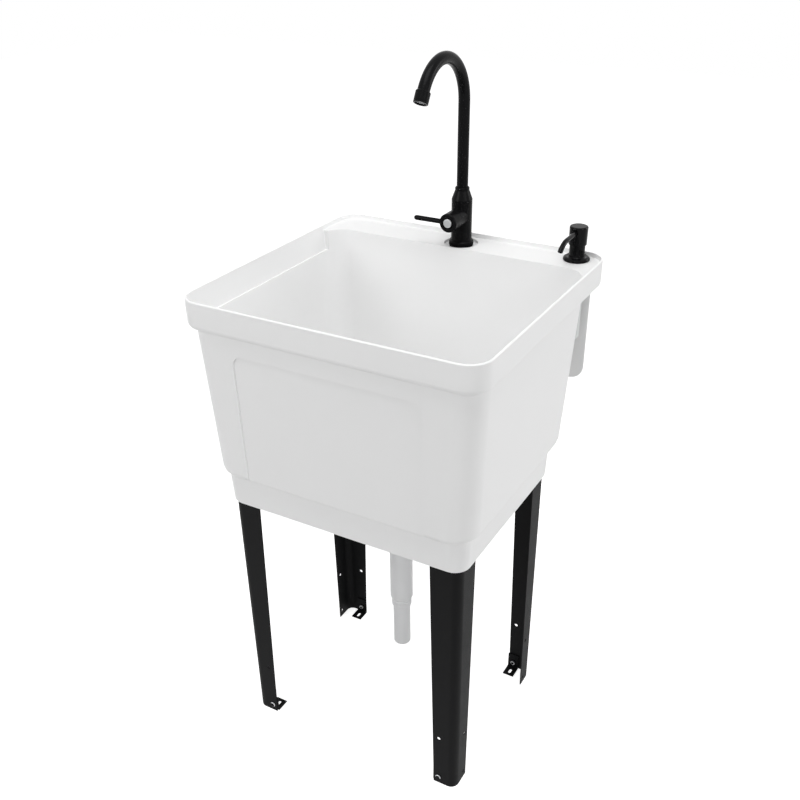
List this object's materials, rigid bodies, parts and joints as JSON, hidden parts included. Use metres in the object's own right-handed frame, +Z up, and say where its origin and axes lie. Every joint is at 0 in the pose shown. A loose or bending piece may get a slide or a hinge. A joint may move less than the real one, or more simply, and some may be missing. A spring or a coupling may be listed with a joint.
{
  "type": "utility laundry sink",
  "caption": "Free-standing laundry sink: a deep plastic tub on bent steel legs, with a gooseneck tap, a soap pump, a basket strainer and a drain pipe.",
  "frame": {"origin": "on the floor, under the centre of the rim", "axes": "+Z up, -Y towards the front of the sink, +X to the right of someone who faces it from the front"},
  "size_m": [0.5, 0.48, 1.1439],
  "materials": {
    "tub_plastic": "moulded white polypropylene, semi-matt",
    "black_steel": "black powder coat",
    "bright_steel": "zinc-plated, bright",
    "stainless": "polished stainless steel",
    "rubber": "black sealing rubber",
    "grey_plastic": "light grey pipe plastic",
    "satin_black": "satin black coating over metal",
    "brass": "plain machined brass",
    "gloss_black": "glossy black",
    "natural_plastic": "natural white plastic"
  },
  "bodies": {
    "sink": {"tub": "tub_plastic", "leg_front_left": "black_steel", "leg_front_right": "black_steel", "leg_back_left": "black_steel", "leg_back_right": "black_steel", "foot_bracket_front_left": "black_steel", "foot_bracket_front_right": "black_steel", "foot_bracket_back_left": "black_steel", "foot_bracket_back_right": "black_steel", "foot_bolt_front_left": "bright_steel", "foot_bolt_front_right": "bright_steel", "foot_bolt_back_left": "bright_steel", "foot_bolt_back_right": "bright_steel", "foot_nut_front_left": "bright_steel", "foot_nut_front_right": "bright_steel", "foot_nut_back_left": "bright_steel", "foot_nut_back_right": "bright_steel", "leg_screw_front_left": "bright_steel", "leg_screw_front_right": "bright_steel", "leg_screw_back_left": "bright_steel", "leg_screw_back_right": "bright_steel", "drain_body": "stainless", "drain_gasket": "rubber", "drain_locknut": "grey_plastic", "drain_tube_nut": "grey_plastic", "drain_upper_tube": "grey_plastic", "drain_slip_ring": "grey_plastic", "drain_lower_tube": "grey_plastic", "tap_gasket": "rubber", "tap_body": "satin_black", "spout_bonnet": "satin_black", "spout_seal": "rubber", "tap_shank": "brass", "tap_washer": "rubber", "tap_clamp_plate": "bright_steel", "tap_nut": "brass", "valve_cartridge": "brass", "pump_collar": "gloss_black", "pump_washer": "rubber", "pump_nut": "grey_plastic", "soap_bottle": "natural_plastic", "pump_chamber": "natural_plastic", "dip_tube": "natural_plastic", "pump_spring": "stainless"},
    "spout": {"spout": "satin_black", "aerator_housing": "satin_black", "aerator_washer": "rubber", "aerator_screen": "stainless"},
    "lever": {"lever_hub": "satin_black", "lever_cap": "bright_steel", "lever_arm": "satin_black", "valve_stem": "brass"},
    "basket": {"drain_basket": "stainless", "basket_seal": "rubber"},
    "plunger": {"pump_plunger": "natural_plastic"},
    "pump_head": {"pump_head": "gloss_black", "pump_nozzle": "gloss_black"}
  },
  "joints": [
    {"name": "spout_swivel", "type": "hinge", "parent": "sink", "child": "spout", "pos_m": [0, 0.204, 0.95], "axis": [0, 0, 1], "continuous": true},
    {"name": "lever_turn", "type": "hinge", "parent": "sink", "child": "lever", "pos_m": [0, 0.16, 0.8791], "axis": [0, 1, 0], "range_deg": [0, 90]},
    {"name": "basket_lift", "type": "slide", "parent": "sink", "child": "basket", "axis": [0, 0, 1], "range_m": [0, 0.045]},
    {"name": "pump_press", "type": "slide", "parent": "sink", "child": "plunger", "axis": [0, 0, -1], "range_m": [0, 0.014], "stiffness_N_per_m": 150, "springref_m": -0.01, "deforming": ["pump_spring"]},
    {"name": "pump_head_turn", "type": "hinge", "parent": "plunger", "child": "pump_head", "pos_m": [0.2038, 0.2138, 0.87], "axis": [0, 0, 1], "continuous": true}
  ]
}
